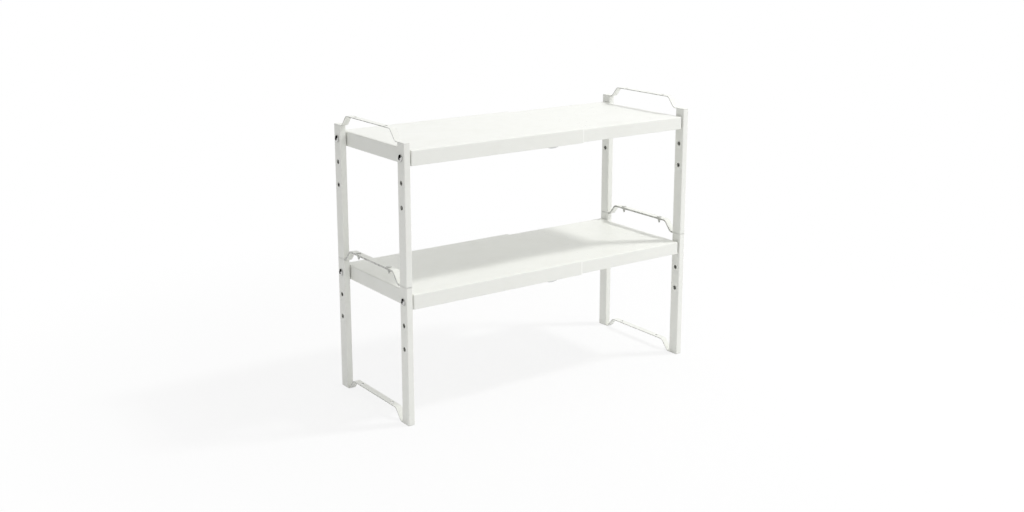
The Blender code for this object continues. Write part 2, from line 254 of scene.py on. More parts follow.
class SurfaceEffects:
    """The node groups that several finishes share, built once."""

    FINE_WAVES = 3.7
    PATCH_WAVES = 0.06
    GLOSS_SPAN = (0.3, 0.7)
    SMUDGE_SPAN = (0.46, 0.74)
    DUST_PER_METRE = 90.0
    DUST_SPAN = (0.56, 0.66)
    SPECK_SPAN = (0.16, 0.08)
    LINE_STRETCH = (0.02, 1.0, 1.0)
    LINE_SPAN = (0.55, 0.72)
    BREAKS_PER_METRE = 60.0
    BREAK_SPAN = (0.4, 0.6)
    MASK_SPAN = (0.35, 0.65)

    def __init__(self) -> None:
        """Builds each group."""
        self.peel = self._orange_peel()
        self.handling = self._handling()
        self.hairlines = self._hairlines()
        # Thin coat on the edges, with painted shade along the straps' narrow sides.
        self.thin_edges_and_shade = self._masked("Thin edges and shade", EDGE_ATTRIBUTE, grains=160.0, least=0.4)
        # Painted shade, read from the faces' shade marks.
        self.shade_mask = self._masked("Painted shade", SHADE_ATTRIBUTE, grains=900.0, least=0.75)
        # Painted highlight along the outer tray's open end.
        self.bead = self._masked("Painted highlight", HIGHLIGHT_ATTRIBUTE, grains=120.0, least=0.7)

    def _start(self, name: str, outputs: Sequence[str], **inputs: float
               ) -> tuple[NodeBoard, bpy.types.NodeOutputs, bpy.types.Node]:
        """Starts a group with a coordinates input, its number inputs and its outputs.

        Args:
            name: The group's name.
            outputs: The names of the number outputs.
            **inputs: The number inputs' usual values by name, spaces written as underscores.

        Returns:
            The group's board, what it is given, and its output node.
        """
        tree = bpy.data.node_groups.new(name, "ShaderNodeTree")
        tree.interface.new_socket("Coordinates", in_out="INPUT", socket_type="NodeSocketVector")
        for label, usual in inputs.items():
            made = tree.interface.new_socket(label.replace("_", " "), in_out="INPUT",
                                             socket_type="NodeSocketFloat")
            made.default_value = usual
        for label in outputs:
            tree.interface.new_socket(label, in_out="OUTPUT", socket_type="NodeSocketFloat")
        board = NodeBoard(tree)
        return board, board.add("NodeGroupInput").outputs, board.add("NodeGroupOutput")

    def _orange_peel(self) -> bpy.types.NodeTree:
        """Builds the low waves and fine specks of a baked coat.

        Returns:
            A group with the coat's height and its gloss.
        """
        board, given, result = self._start("Orange peel", ("Height", "Gloss"),
                                           Waves_per_metre=900.0, Fine_share=0.25)
        where, waves = given["Coordinates"], given["Waves per metre"]
        broad = board.noise(where, waves, detail=1.0)
        fine = board.noise(where, board.math("MULTIPLY", waves, self.FINE_WAVES))
        height = board.math("MULTIPLY_ADD", fine, given["Fine share"], broad)
        patches = board.noise(where, board.math("MULTIPLY", waves, self.PATCH_WAVES), detail=3.0)
        board.feed(result, Height=height, Gloss=board.ramp(patches, self.GLOSS_SPAN))
        return board.tree

    def _handling(self) -> bpy.types.NodeTree:
        """Builds faint smudges and settled dust.

        Returns:
            A group with a smudge mask and a speck mask.
        """
        board, given, result = self._start("Handling", ("Smudge", "Speck"),
                                           Patches_per_metre=14.0, Specks_per_metre=420.0)
        where = given["Coordinates"]
        patches = board.noise(where, given["Patches per metre"], detail=5.0, roughness=0.6)
        cells = board.feed(board.add("TexVoronoi", feature="F1"), Vector=where,
                           Scale=given["Specks per metre"])
        sparse = board.ramp(board.noise(where, self.DUST_PER_METRE, detail=1.0), self.DUST_SPAN)
        speck = board.math("MULTIPLY", board.ramp(cells.outputs["Distance"], self.SPECK_SPAN), sparse)
        board.feed(result, Smudge=board.ramp(patches, self.SMUDGE_SPAN), Speck=speck)
        return board.tree

    def _hairlines(self) -> bpy.types.NodeTree:
        """Builds fine parallel scratches along the first axis of the given coordinates.

        Returns:
            A group with a scratch mask.
        """
        board, given, result = self._start("Hairlines", ("Scratch",),
                                           Lines_per_metre=2500.0, Amount=0.5)
        where = given["Coordinates"]
        along = board.feed(board.add("Mapping"), Vector=where, Scale=self.LINE_STRETCH)
        lines = board.noise(along.outputs[0], given["Lines per metre"], roughness=0.7)
        broken = board.ramp(board.noise(where, self.BREAKS_PER_METRE), self.BREAK_SPAN)
        mask = board.math("MULTIPLY", board.ramp(lines, self.LINE_SPAN), broken)
        board.feed(result, Scratch=board.math("MULTIPLY", mask, given["Amount"]))
        return board.tree

    def _masked(self, name: str, attribute: str, grains: float, least: float
                ) -> bpy.types.NodeTree:
        """Builds the mask of the faces that an attribute marks, broken up by noise.

        Args:
            name: The group's name.
            attribute: The attribute of the marked faces.
            grains: The noise's grains per metre.
            least: How much of the mark is left where the noise is lowest.

        Returns:
            A group with a mask.
        """
        board, given, result = self._start(name, ("Mask",), Amount=0.5)
        marked = board.add("Attribute", attribute_name=attribute, attribute_type="GEOMETRY")
        uneven = board.ramp(board.noise(given["Coordinates"], grains), self.MASK_SPAN, start=least)
        mask = board.math("MULTIPLY", marked.outputs["Fac"], uneven)
        board.feed(result, Mask=board.math("MULTIPLY", mask, given["Amount"]))
        return board.tree


class FinishBoard(NodeBoard):
    """The node tree of one finish, which reads the piece's own coordinates."""

    def __init__(self, name: str) -> None:
        """Makes the material.

        Args:
            name: The material's name.
        """
        self.material = bpy.data.materials.new(name)
        self.material.use_nodes = True
        super().__init__(self.material.node_tree)
        self.where = self.add("TexCoord").outputs["Object"]

    def effect(self, group: bpy.types.NodeTree, **inputs: float) -> bpy.types.NodeOutputs:
        """Places a shared group with its inputs by name, and gives its outputs."""
        node = self.add("Group", node_tree=group)
        return self.feed(node, Coordinates=self.where, **inputs).outputs

    def layered(self, tone: object, *layers: tuple[bpy.types.NodeSocket, Triple]
                ) -> bpy.types.NodeSocket:
        """Lays colours over a tone.

        Args:
            tone: The tone below, as a socket or three numbers.
            *layers: Each layer's mask and colour, from the lowest up.

        Returns:
            The colour's socket.
        """
        for mask, colour in layers:
            tone = self.blend(mask, tone, colour)
        return tone

    def finished(self, tone: bpy.types.NodeSocket, rough: bpy.types.NodeSocket,
                 relief: bpy.types.NodeSocket, depth: float, **constants: float
                 ) -> bpy.types.Material:
        """Fills the shader.

        Args:
            tone: The colour.
            rough: The roughness.
            relief: The height that the surface is bumped by, from 0 to 1.
            depth: How high that is in metres.
            **constants: The shader's other inputs by name.

        Returns:
            The material.
        """
        bump = self.feed(self.add("Bump"), Height=relief, Strength=1.0, Distance=depth)
        self.feed(self.tree.nodes["Principled BSDF"], Base_Color=tone, Roughness=rough,
                  Normal=bump.outputs["Normal"], **constants)
        return self.material


@dataclass(frozen=True)
class PowderCoat:
    """White polyester powder baked on steel: satin, with a low orange peel."""

    name: str = "White powder coat"
    colour: Triple = (0.853, 0.860, 0.818)
    # Also the colour of dust specks and of the painted shade on the straps' narrow sides.
    edge_colour: Triple = (0.21, 0.21, 0.20)
    smudge_colour: Triple = (0.815, 0.820, 0.770)
    rub_colour: Triple = (0.70, 0.70, 0.675)
    # Painted highlight along the outer tray's open end.
    highlight_colour: Triple = (0.945, 0.950, 0.915)
    smudge_share: float = 0.5
    speck_share: float = 0.15
    edge_share: float = 0.9
    roughness: float = 0.36
    roughness_spread: float = 0.09
    waves_per_metre: float = 850.0
    peel_depth: float = 0.000035
    ior: float = 1.48
    rubbed: bool = False
    rubs_per_metre: float = 2600.0
    rub_share: float = 0.16

    def material(self, effects: SurfaceEffects) -> bpy.types.Material:
        """Builds the finish.

        Args:
            effects: The shared node groups.

        Returns:
            The material.
        """
        board = FinishBoard(self.name)
        peel = board.effect(effects.peel, Waves_per_metre=self.waves_per_metre)
        marks = board.effect(effects.handling)
        tone = board.layered(
            self.colour,
            (board.math("MULTIPLY", marks["Smudge"], self.smudge_share), self.smudge_colour),
            (board.math("MULTIPLY", marks["Speck"], self.speck_share), self.edge_colour),
            # Thin coat at the edges, with painted shade on the straps' narrow sides.
            (board.effect(effects.thin_edges_and_shade, Amount=self.edge_share)["Mask"], self.edge_colour),
            # Painted highlight on the outer tray's open end.
            (board.effect(effects.bead, Amount=1.0)["Mask"], self.highlight_colour),
        )
        rough = board.ramp(peel["Gloss"], (0.0, 1.0), self.roughness,
                           self.roughness + self.roughness_spread)
        if self.rubbed:
            rub = board.effect(effects.hairlines, Lines_per_metre=self.rubs_per_metre,
                               Amount=self.rub_share)["Scratch"]
            tone = board.blend(rub, tone, self.rub_colour)
            rough = board.math("SUBTRACT", rough, rub)
        return board.finished(tone, rough, peel["Height"], self.peel_depth, IOR=self.ior)


@dataclass(frozen=True)
class PlatedSteel:
    """Plated steel: bright chrome or dull zinc, with hairlines, a matt bloom and painted shade in its
    recesses and under its head.
    """

    name: str
    colour: Triple
    bloom_colour: Triple
    roughness: float
    roughness_spread: float
    # Painted shade: near black, for the cross recess and the ring under the head.
    shade_colour: Triple = (0.018, 0.018, 0.017)
    blooms_per_metre: float = 220.0
    edge_share: float = 0.4
    lines_per_metre: float = 3200.0
    line_share: float = 0.8
    scratch_depth: float = 0.000004

    def material(self, effects: SurfaceEffects) -> bpy.types.Material:
        """Builds the finish.

        Args:
            effects: The shared node groups.

        Returns:
            The material.
        """
        board = FinishBoard(self.name)
        bloom = board.effect(effects.handling, Patches_per_metre=self.blooms_per_metre)["Smudge"]
        scratch = board.effect(effects.hairlines, Lines_per_metre=self.lines_per_metre,
                               Amount=self.line_share)["Scratch"]
        edges = board.effect(effects.thin_edges_and_shade, Amount=self.edge_share)["Mask"]
        # Painted shade darkens the recess and the ring under the head, and roughens them too.
        shade_mask = board.effect(effects.shade_mask, Amount=1.0)["Mask"]
        tone = board.layered(self.colour, (bloom, self.bloom_colour), (edges, self.bloom_colour),
                             (shade_mask, self.shade_colour))
        wear_and_shade = board.math("MAXIMUM", board.math("MAXIMUM", bloom, scratch), shade_mask)
        rough = board.ramp(wear_and_shade, (0.0, 1.0), self.roughness, self.roughness + self.roughness_spread)
        return board.finished(tone, rough, scratch, self.scratch_depth, Metallic=1.0)


@dataclass(frozen=True)
class MouldedPlastic:
    """Injection-moulded plastic with the fine grain of a sparked mould."""

    name: str
    colour: Triple
    flow_colour: Triple
    roughness: float
    roughness_spread: float = 0.1
    # Painted shade: the ring round the plug heads and the barb and tip under the straps.
    shade_colour: Triple = (0.06, 0.06, 0.055)
    shade_share: float = 0.9
    flows_per_metre: float = 160.0
    edge_share: float = 0.35
    grain_per_metre: float = 4200.0
    fine_share: float = 0.5
    grain_depth: float = 0.00002
    ior: float = 1.49

    def material(self, effects: SurfaceEffects) -> bpy.types.Material:
        """Builds the finish.

        Args:
            effects: The shared node groups.

        Returns:
            The material.
        """
        board = FinishBoard(self.name)
        grain = board.effect(effects.peel, Waves_per_metre=self.grain_per_metre,
                             Fine_share=self.fine_share)
        flow = board.effect(effects.handling, Patches_per_metre=self.flows_per_metre)["Smudge"]
        edges = board.effect(effects.thin_edges_and_shade, Amount=self.edge_share)["Mask"]
        # Painted shade on the plug's rim ring, barb and tip.
        shade_mask = board.effect(effects.shade_mask, Amount=self.shade_share)["Mask"]
        tone = board.layered(self.colour, (flow, self.flow_colour), (edges, self.flow_colour),
                             (shade_mask, self.shade_colour))
        rough = board.ramp(grain["Gloss"], (0.0, 1.0), self.roughness,
                           self.roughness + self.roughness_spread)
        return board.finished(tone, rough, grain["Height"], self.grain_depth, IOR=self.ior)


class SlotFinish(NamedTuple):
    """A finished material with the record's slot that it belongs to."""

    slot: Slot
    material: bpy.types.Material


class Finishes:
    """The organizer's finishes."""

    def __init__(self) -> None:
        """Builds the shared effects and each finish once."""
        effects = SurfaceEffects()
        chrome = PlatedSteel("Bright chrome", (0.56, 0.56, 0.55), (0.42, 0.42, 0.41),
                             roughness=0.09, roughness_spread=0.14)
        zinc = PlatedSteel("Zinc plate", (0.58, 0.59, 0.60), (0.42, 0.43, 0.43),
                           roughness=0.34, roughness_spread=0.18)
        plug = MouldedPlastic("Pale plug plastic", (0.76, 0.77, 0.74), (0.68, 0.69, 0.66),
                              roughness=0.36)
        glide = MouldedPlastic("Pale glide plastic", (0.70, 0.71, 0.70), (0.64, 0.65, 0.64),
                               roughness=0.48)
        rubbed = PowderCoat(name="Rubbed powder coat", rubbed=True)
        self.coat = SlotFinish(Slot.COAT, PowderCoat().material(effects))
        self.chrome = SlotFinish(Slot.CHROME, chrome.material(effects))
        self.zinc = SlotFinish(Slot.ZINC, zinc.material(effects))
        self.plug = SlotFinish(Slot.PLUG, plug.material(effects))
        self.glide = SlotFinish(Slot.GLIDE, glide.material(effects))
        self.rubbed_coat = SlotFinish(Slot.COAT, rubbed.material(effects))


def everything(bm: bmesh.types.BMesh) -> list:
    """All corners, edges and faces of a bmesh."""
    return bm.verts[:] + bm.edges[:] + bm.faces[:]


def wire_of(profile: Profile, closed: bool = False) -> bmesh.types.BMesh:
    """Strings edges through the points of a profile.

    Args:
        profile: Points as radius and height.
        closed: Whether the last point joins the first.

    Returns:
        The wire, in the plane of X and Z.
    """
    bm = bmesh.new()
    corners = [bm.verts.new((radius, 0.0, height)) for radius, height in profile]
    chain = corners + corners[:1] if closed else corners
    for one, other in zip(chain, chain[1:]):
        bm.edges.new((one, other))
    return bm


def turned(profile: Profile, facets: int, closed: bool = False) -> bmesh.types.BMesh:
    """Turns a profile about the Z axis.

    Args:
        profile: Points as radius and height.
        facets: How many faces go round.
        closed: Whether the profile's last point joins its first.

    Returns:
        The turned body, with its faces outwards.
    """
    bm = wire_of(profile, closed)
    bmesh.ops.spin(bm, geom=everything(bm), cent=ORIGIN, axis=UP, dvec=ORIGIN, angle=math.tau,
                   steps=facets, use_merge=True)
    bmesh.ops.remove_doubles(bm, verts=bm.verts, dist=WELD_LIMIT)
    bmesh.ops.recalc_face_normals(bm, faces=bm.faces)
    return bm


def arc(centre: tuple[float, float], radius: float, start: float, sweep: float,
        steps: int) -> list[tuple[float, float]]:
    """Points on an arc, with both ends.

    Args:
        centre: The arc's centre.
        radius: Its radius.
        start: The angle it starts at.
        sweep: The angle it turns through.
        steps: How many steps it is split into.

    Returns:
        The points.
    """
    angles = [start + sweep * step / steps for step in range(steps + 1)]
    return [(centre[0] + radius * math.cos(a), centre[1] + radius * math.sin(a)) for a in angles]


def dome(radius: float, low: float, rise: float, steps: int) -> list[tuple[float, float]]:
    """Points of a dome from its top down to its rim.

    Args:
        radius: The rim's radius.
        low: The rim's height.
        rise: How far the top is above it.
        steps: How many steps it is split into.

    Returns:
        The points as radius and height.
    """
    angles = [QUARTER * (1 - step / steps) for step in range(1, steps + 1)]
    return [(0.0, low + rise), *((radius * math.cos(a), low + rise * math.sin(a)) for a in angles)]


def round_bar(radius: float, length: float, place: Sequence[float], facets: int,
              turn: Matrix = Matrix.Identity(4), end_radius: float | None = None
              ) -> bmesh.types.BMesh:
    """Makes a round bar about the Z axis, or turned with a matrix.

    Args:
        radius: The bar's radius.
        length: Its length.
        place: Its middle.
        facets: How many faces go round.
        turn: The turn it is given first.
        end_radius: The radius at its upper end, where that differs.

    Returns:
        The bar.
    """
    bm = bmesh.new()
    bmesh.ops.create_cone(bm, cap_ends=True, segments=facets, radius1=radius,
                          radius2=radius if end_radius is None else end_radius, depth=length)
    bm.transform(Matrix.Translation(place) @ turn)
    return bm


def box_of(size: Sequence[float], place: Sequence[float]) -> bmesh.types.BMesh:
    """Makes a box.

    Args:
        size: Its size along each axis.
        place: Its middle.

    Returns:
        The box, with its normals up to date.
    """
    bm = bmesh.new()
    bmesh.ops.create_cube(bm, size=1.0)
    bm.transform(Matrix.Translation(place) @ Matrix.Diagonal((*size, 1.0)))
    bm.normal_update()
    return bm


def bevelled(bm: bmesh.types.BMesh, edges: list, offset: float, segments: int) -> None:
    """Rounds edges of a bmesh to a radius, with so many faces."""
    bmesh.ops.bevel(bm, geom=edges, offset=offset, offset_type="OFFSET", segments=segments,
                    profile=0.5, affect="EDGES", material=-1)


def sliced(bm: bmesh.types.BMesh, place: Triple, normal: Triple, clear: bool = False) -> None:
    """Cuts a bmesh along a plane, and clears what lies past it if asked to."""
    bmesh.ops.bisect_plane(bm, geom=everything(bm), plane_co=place, plane_no=normal,
                           clear_outer=clear)


def mesh_of(shape: Shape) -> bpy.types.Mesh:
    """Turns a bmesh into a mesh and frees it.

    Args:
        shape: The bmesh, or a mesh that stays as it is.

    Returns:
        The mesh.
    """
    if isinstance(shape, bpy.types.Mesh):
        return shape
    mesh = bpy.data.meshes.new("Shape")
    shape.to_mesh(mesh)
    shape.free()
    return mesh


def blank(shape: Shape) -> bpy.types.Object:
    """Links a shape as an object that modifiers can work on.

    Args:
        shape: The shape.

    Returns:
        The object.
    """
    item = bpy.data.objects.new("Blank", mesh_of(shape))
    bpy.context.scene.collection.objects.link(item)
    return item


def modified(shape: Shape, kind: str, **settings: object) -> bpy.types.Mesh:
    """Works on a shape with one modifier.

    Args:
        shape: The shape.
        kind: The modifier's type.
        **settings: The modifier's settings by name.

    Returns:
        The result.
    """
    item = blank(shape)
    step = item.modifiers.new(kind, kind)
    for name, value in settings.items():
        setattr(step, name, value)
    graph = bpy.context.evaluated_depsgraph_get()
    graph.update()
    mesh = bpy.data.meshes.new_from_object(item.evaluated_get(graph))
    bpy.data.objects.remove(item, do_unlink=True)
    return mesh


def combined(shape: Shape, others: Iterable[Shape], operation: str = "DIFFERENCE") -> bpy.types.Mesh:
    """Cuts shapes out of a shape, or joins them to it.

    Args:
        shape: The shape that is worked on.
        others: The cutting tools or the joined pieces.
        operation: The Boolean's operation.

    Returns:
        The result.
    """
    mesh = mesh_of(shape)
    for other in others:
        tool = blank(other)
        mesh = modified(mesh, "BOOLEAN", operation=operation, solver="EXACT", object=tool)
        bpy.data.objects.remove(tool, do_unlink=True)
    return mesh


def walled(shape: Shape, thickness: float) -> bpy.types.Mesh:
    """Gives an open skin its sheet thickness, inwards."""
    return modified(shape, "SOLIDIFY", thickness=thickness, offset=-1.0, use_even_offset=True)


def softened(shape: Shape, radius: float, segments: int = 2,
             bareness_and_shade: float = EDGE_BARENESS) -> bpy.types.Mesh:
    """Rounds a shape's sharp edges, marks them and shades the rest smooth.

    Args:
        shape: The shape.
        radius: The rounding's width.
        segments: How many faces the rounding has.
        bareness_and_shade: How thin the finish is on the edges, from 0 to 1; the straps pass more, which
            paints shade on their narrow sides.

    Returns:
        The softened mesh.
    """
    mesh = modified(shape, "BEVEL", width=radius, segments=segments, limit_method="ANGLE",
                    angle_limit=SOFT_EDGE_ANGLE, profile=0.5, material=-1)
    return shaded(mesh, bareness_and_shade)


def shaded(shape: Shape, bareness_and_shade: float = EDGE_BARENESS) -> bpy.types.Mesh:
    """Marks the narrow edge faces and gives the flat faces flat normals.

    Args:
        shape: The shape.
        bareness_and_shade: How thin the finish is on the edges, from 0 to 1, with painted shade where it
            is high.

    Returns:
        The shaded mesh.
    """
    mesh = mesh_of(shape)
    bm = bmesh.new()
    bm.from_mesh(mesh)
    marks = [bareness_and_shade if is_edge(face) else 0.0 for face in bm.faces]
    bm.free()
    set_marks(mesh, EDGE_ATTRIBUTE, marks)
    mesh.shade_smooth()
    mesh.set_sharp_from_angle(angle=SOFT_EDGE_ANGLE)
    return modified(mesh, "WEIGHTED_NORMAL", keep_sharp=True)


def marked(mesh: bpy.types.Mesh, attribute: str, mark_at: Callable[[Vector], float]) -> bpy.types.Mesh:
    """Marks how much painted shade, or painted highlight, each face gets.

    Args:
        mesh: The mesh.
        attribute: The mark's name.
        mark_at: Tells from a face's middle how strong the mark is, from 0 to 1.

    Returns:
        The same mesh.
    """
    set_marks(mesh, attribute, [float(mark_at(face.center)) for face in mesh.polygons])
    return mesh


def set_marks(mesh: bpy.types.Mesh, attribute: str, marks: list[float]) -> None:
    """Gives a mesh a mark for each face."""
    mesh.attributes.new(attribute, "FLOAT", "FACE").data.foreach_set("value", marks)


def is_edge(face: bmesh.types.BMFace) -> bool:
    """Tells whether a face is a narrow strip along an edge.

    Args:
        face: The face.

    Returns:
        Whether it is narrow and turns away from its neighbours along its length.
    """
    longest = max(edge.calc_length() for edge in face.edges)
    if face.calc_area() > longest * EDGE_MARK_WIDTH:
        return False
    return any(edge.calc_face_angle(0.0) > EDGE_MARK_ANGLE for edge in face.edges
               if edge.calc_length() > longest * LONG_EDGE_SHARE)


def centre_of(node: str) -> Vector:
    """The middle of a CAD node's box."""
    low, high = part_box(node)
    return (low + high) / 2


def half_of(tier: Tier, side: Side) -> str:
    """The body of one half of a tier."""
    return f"{tier.value}_{side.value}_half"


class Workshop:
    """Puts finished pieces in the scene and counts them."""

    def __init__(self) -> None:
        """Makes the collection that the pieces are linked to."""
        self.shelf = bpy.data.collections.new("Dressed organizer")
        bpy.context.scene.collection.children.link(self.shelf)
        self.made = 0

    def piece(self, template: bpy.types.Mesh, name: str, where: Matrix, body: str,
              finish: SlotFinish, node: str = "") -> None:
        """Puts a copy of a template in its place as a piece that rides on a body.

        Args:
            template: The finished mesh at its own origin.
            name: The piece's name.
            where: The transform that takes the template to its place.
            body: The CAD body it rides on.
            finish: Its material and slot.
            node: The CAD node that it stands for, if any.
        """
        mesh = template.copy()
        mesh.name = name
        mesh.transform(where)
        mesh.materials.clear()
        mesh.materials.append(finish.material)
        item = bpy.data.objects.new(name, mesh)
        self.shelf.objects.link(item)
        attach(item, body)
        if node:
            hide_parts(node)
        self.made += 1
        LOG.info("%s: %d faces on %s", name, len(mesh.polygons), body)


@dataclass
class LegTube:
    """A rectangular tube with a row of shelf holes through both wide walls."""

    width: float = 0.0112
    depth: float = 0.0202
    wall: float = 0.0010
    corner_radius: float = 0.0012
    corner_segments: int = 8
    hole_radius: float = 0.0038
    hole_pitch: float = 0.0392
    hole_count: int = 3
    top_hole_drop: float = 0.0228
    hole_facets: int = 48
    weld_reach: float = 0.0006
    edge_radius: float = 0.0002

    def mesh(self, length: float) -> bpy.types.Mesh:
        """Builds the tube, its CAD foot at zero, with both ends run on into the straps.

        Args:
            length: The CAD tube's length.

        Returns:
            The finished mesh.
        """
        full = length + 2 * self.weld_reach
        bm = box_of((self.width, self.depth, full), (0.0, 0.0, length / 2))
        ends = [face for face in bm.faces if abs(face.normal.z) > FACING_SHARE]
        bmesh.ops.delete(bm, geom=ends, context="FACES_ONLY")
        corners = [edge for edge in bm.edges if not edge.is_boundary]
        bevelled(bm, corners, self.corner_radius, self.corner_segments)
        tools = []
        for row in range(self.hole_count):
            height = length - self.top_hole_drop - row * self.hole_pitch
            tools.append(round_bar(self.hole_radius, 2 * self.width, (0.0, 0.0, height),
                                   self.hole_facets, X_ACROSS))
        return softened(combined(walled(bm, self.wall), tools), self.edge_radius)


@dataclass
class EndStrap:
    """A flat strap, bent up in the middle, that caps both legs of an end frame."""

    width: float = 0.0112
    depth: float = 0.2260
    thickness: float = 0.0014
    flat: float = 0.0224
    rise: float = 0.0180
    bend_radius: float = 0.0090
    ramp_angle: float = math.radians(50.0)
    bend_segments: int = 12
    corner_radius: float = 0.0012
    corner_segments: int = 6
    nose_radius: float = 0.0010
    nose_segments: int = 5
    edge_radius: float = 0.00035
    edge_segments: int = 3
    plug_place: float = 0.0500
    plug_hole_radius: float = 0.0030
    hole_facets: int = 40
    # Far darker than thin coat alone: painted shade on the strap's edges and narrow sides.
    bareness_and_shade: float = 0.7
    flat_mark_share: float = 0.25

    @property
    def foot(self) -> float:
        """Where the front flat ends along Y."""
        return self.flat - self.depth / 2

    def _drawn(self, bm: bmesh.types.BMesh, leading: list, step: Triple) -> list:
        """Extrudes the leading face straight on.

        Args:
            bm: The strap so far.
            leading: The leading face with its edges and corners.
            step: How far it goes.

        Returns:
            The new leading geometry.
        """
        made = bmesh.ops.extrude_face_region(bm, geom=leading)["geom"]
        corners = [part for part in made if isinstance(part, bmesh.types.BMVert)]
        bmesh.ops.translate(bm, verts=corners, vec=step)
        return made

    def _bent(self, bm: bmesh.types.BMesh, leading: list, centre: tuple[float, float],
              angle: float) -> list:
        """Turns the leading face round a bend.

        Args:
            bm: The strap so far.
            leading: The leading face with its edges and corners.
            centre: The bend's centre as Y and Z.
            angle: The bend's angle, upwards where positive.

        Returns:
            The new leading geometry.
        """
        made = bmesh.ops.spin(bm, geom=leading, cent=(0.0, *centre), axis=ALONG_X, dvec=ORIGIN,
                              angle=angle, steps=self.bend_segments)
        return made["geom_last"]

    def _bent_bar(self, kind: Strap) -> bmesh.types.BMesh:
        """Draws and bends a flat bar from its front end to its back end.

        Args:
            kind: The strap that it becomes.

        Returns:
            The bar with square ends.
        """
        bm = bmesh.new()
        bmesh.ops.create_grid(bm, x_segments=1, y_segments=1, size=0.5)
        bm.transform(
            Matrix.Translation((0.0, -self.depth / 2, kind.value * self.thickness / 2))
            @ Matrix.Rotation(QUARTER, 4, "X")
            @ Matrix.Diagonal((self.width, self.thickness, 1.0, 1.0))
        )
        radius, angle = self.bend_radius, self.ramp_angle
        climb = self.rise - 2 * radius * (1 - math.cos(angle))
        reach = climb / math.tan(angle)
        foot = self.foot
        head = foot + 2 * radius * math.sin(angle) + reach
        level = self.rise - radius
        leading = self._drawn(bm, everything(bm), (0.0, self.flat, 0.0))
        leading = self._bent(bm, leading, (foot, radius), angle)
        leading = self._drawn(bm, leading, (0.0, reach, climb))
        leading = self._bent(bm, leading, (head, level), -angle)
        leading = self._drawn(bm, leading, (0.0, -2 * head, 0.0))
        leading = self._bent(bm, leading, (-head, level), -angle)
        leading = self._drawn(bm, leading, (0.0, reach, -climb))
        leading = self._bent(bm, leading, (-foot, radius), angle)
        self._drawn(bm, leading, (0.0, self.flat, 0.0))
        bmesh.ops.remove_doubles(bm, verts=bm.verts, dist=WELD_LIMIT)
        bmesh.ops.recalc_face_normals(bm, faces=bm.faces)
        return bm

    def mesh(self, kind: Strap) -> bpy.types.Mesh:
        """Builds a strap, its shared face at height zero over the legs.

        Args:
            kind: Handle, with its sheet under the shared face, or brace, with it above.

        Returns:
            The finished mesh.
        """
        half = self.depth / 2
        bm = self._bent_bar(kind)
        upright = [edge for edge in bm.edges
                   if all(abs(abs(v.co.y) - half) < WELD_LIMIT for v in edge.verts)
                   and abs(edge.verts[0].co.z - edge.verts[1].co.z) > self.thickness / 2]
        bevelled(bm, upright, self.corner_radius, self.corner_segments)
        nose = [edge for edge in bm.edges
                if all(abs(v.co.z) < WELD_LIMIT and abs(v.co.y) > half - self.corner_radius / 2
                       for v in edge.verts)]
        bevelled(bm, nose, self.nose_radius, self.nose_segments)
        tools = [round_bar(self.plug_hole_radius, self.rise, (0.0, place, self.rise),
                           self.hole_facets) for place in (-self.plug_place, self.plug_place)]
        mesh = softened(combined(bm, tools), self.edge_radius, self.edge_segments, self.bareness_and_shade)
        # Painted shade on both narrow sides of the strap, less on its flat ends over the legs.
        for mark, face in zip(mesh.attributes[EDGE_ATTRIBUTE].data, mesh.polygons):
            if abs(face.normal.x) > FACING_SHARE:
                mark.value = self.bareness_and_shade
            if abs(face.center.y) > -self.foot:
                mark.value *= self.flat_mark_share
        return mesh


@dataclass
class WeldBead:
    """A short fillet weld in the corner between a leg and a strap, coated over."""

    radius: float = 0.0009
    length: float = 0.0092
    facets: int = 14
    rings: int = 28
    ripple: float = 0.10
    ripples: int = 7
    end_fullness: float = 0.08
    taper_power: int = 4

    def mesh(self) -> bpy.types.Mesh:
        """Builds the bead along X, about its own middle.

        Returns:
            The finished mesh.
        """
        bm = round_bar(self.radius, self.length, ORIGIN, self.facets, X_ACROSS)
        lengthwise = [edge for edge in bm.edges
                      if abs(edge.verts[0].co.x - edge.verts[1].co.x) > self.length / 2]
        bmesh.ops.subdivide_edges(bm, edges=lengthwise, cuts=self.rings - 1, use_grid_fill=True)
        for ring in range(self.rings + 1):
            share = ring / self.rings
            along = (share - 0.5) * self.length
            loop = [v for v in bm.verts if abs(v.co.x - along) < self.length / self.rings / 4]
            fullness = max(self.end_fullness, 1 - abs(2 * share - 1) ** self.taper_power)
            wave = 1 + self.ripple * abs(math.sin(share * self.ripples * math.pi))
            scale = math.sqrt(fullness) * wave
            bmesh.ops.scale(bm, verts=loop, vec=(1.0, scale, scale))
        bmesh.ops.recalc_face_normals(bm, faces=bm.faces)
        return shaded(bm)


@dataclass
class Assembly:
    """Pieces that are built together, with what they are made with."""

    workshop: Workshop
    finishes: Finishes


